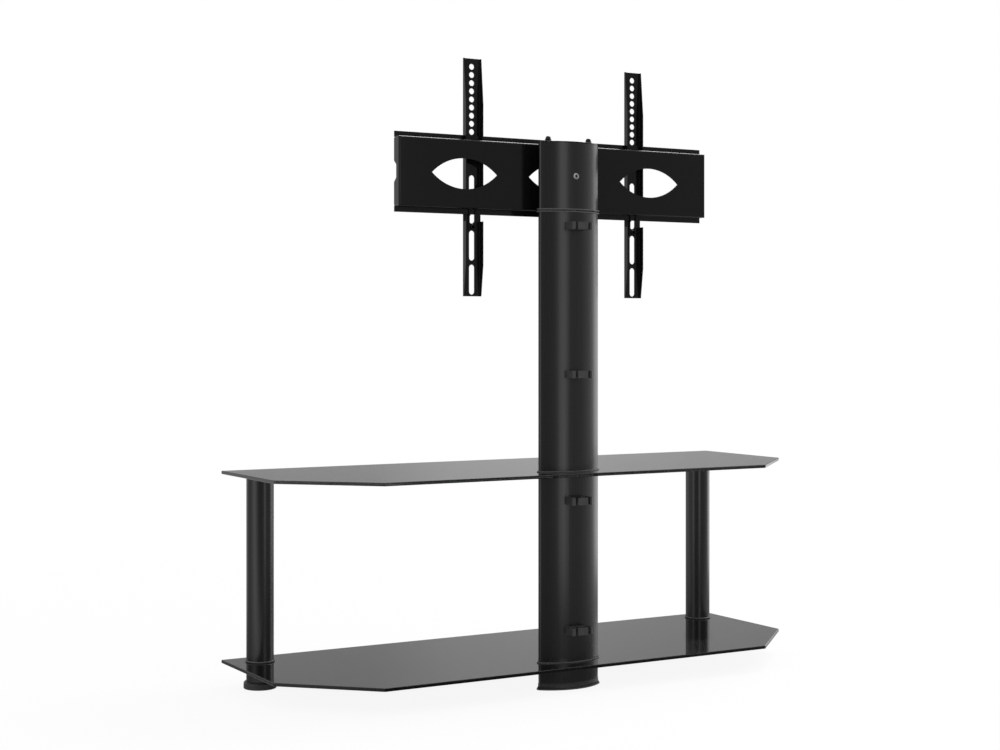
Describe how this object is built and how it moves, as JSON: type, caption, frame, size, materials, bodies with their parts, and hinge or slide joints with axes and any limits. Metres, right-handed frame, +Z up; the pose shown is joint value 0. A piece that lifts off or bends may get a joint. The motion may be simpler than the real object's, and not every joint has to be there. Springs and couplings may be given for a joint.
{
  "type": "television floor stand",
  "caption": "Floor stand with two glass shelves, a lens-shaped column, round front legs and a swivelling steel plate with sliding arms that carry a screen.",
  "frame": {"origin": "centre of the floor area that the stand covers, on the floor", "axes": "+X along the width, to the object's own left; the screen side faces -Y; +Z up"},
  "size_m": [1.1, 0.384, 1.1432],
  "materials": {
    "glass": "black tinted tempered glass with polished edges",
    "anodised_aluminium": "extruded, black anodised, satin",
    "black_paint": "gloss black powder coat",
    "grey_steel": "dull grey phosphate",
    "black_rubber": "matt black rubber",
    "black_plastic": "moulded, fine grain",
    "white_plastic": "low-friction plastic, natural white",
    "zinc_steel": "bright zinc plated",
    "black_steel": "black oxide",
    "cast_aluminium": "die cast, unpainted"
  },
  "bodies": {
    "stand": {"lower_shelf": "glass", "upper_shelf": "glass", "base_casting": "black_paint", "column_foot": "anodised_aluminium", "column_lower": "anodised_aluminium", "column_upper": "anodised_aluminium", "foot_gasket": "black_rubber", "lower_ring": "black_rubber", "mid_gasket": "black_rubber", "upper_ring": "black_rubber", "tie_rods": "zinc_steel", "tie_nuts": "zinc_steel", "tie_washers": "zinc_steel", "swivel_base": "grey_steel", "stop_pin": "zinc_steel", "pivot_bolt": "zinc_steel", "friction_washer": "white_plastic", "pivot_washer": "white_plastic", "pivot_spring": "zinc_steel", "pivot_nut": "zinc_steel", "leg_left": "anodised_aluminium", "leg_right": "anodised_aluminium", "leg_ring_left": "black_rubber", "leg_ring_right": "black_rubber", "leg_plugs_left": "cast_aluminium", "leg_plugs_right": "cast_aluminium", "leg_studs": "zinc_steel", "top_discs": "zinc_steel", "neck_gaskets": "black_rubber", "foot_neck_left": "anodised_aluminium", "foot_neck_right": "anodised_aluminium", "neck_plugs": "cast_aluminium", "clip_top": "black_plastic", "clip_upper": "black_plastic", "clip_lower": "black_plastic", "clip_bottom": "black_plastic", "clip_screws": "black_steel"},
    "head": {"swivel_plate": "grey_steel", "column_head": "anodised_aluminium", "head_cap": "black_paint", "head_studs": "zinc_steel", "cap_nuts": "black_steel", "head_core": "black_steel", "back_bolt": "zinc_steel", "saddle_blocks": "black_paint", "wall_plate": "black_paint", "plate_bolts": "black_steel", "plate_washers": "zinc_steel"},
    "left_arm": {"arm_left": "black_paint", "lock_fork_left": "black_steel", "lock_screw_left": "black_steel"},
    "right_arm": {"arm_right": "black_paint", "lock_fork_right": "black_steel", "lock_screw_right": "black_steel"},
    "left_foot": {"foot_pad_left": "black_plastic", "foot_stud_left": "zinc_steel"},
    "right_foot": {"foot_pad_right": "black_plastic", "foot_stud_right": "zinc_steel"}
  },
  "joints": [
    {"name": "head_swivel", "type": "hinge", "parent": "stand", "child": "head", "pos_m": [0, 0.127, 0.8704], "axis": [0, 0, 1], "range_deg": [-20, 20]},
    {"name": "left_arm_slide", "type": "slide", "parent": "head", "child": "left_arm", "axis": [1, 0, 0], "range_m": [-0.075, 0.125]},
    {"name": "right_arm_slide", "type": "slide", "parent": "head", "child": "right_arm", "axis": [-1, 0, 0], "range_m": [-0.075, 0.125]},
    {"name": "left_foot_level", "type": "slide", "parent": "stand", "child": "left_foot", "axis": [0, 0, -1], "range_m": [0, 0.008]},
    {"name": "right_foot_level", "type": "slide", "parent": "stand", "child": "right_foot", "axis": [0, 0, -1], "range_m": [0, 0.008]}
  ]
}
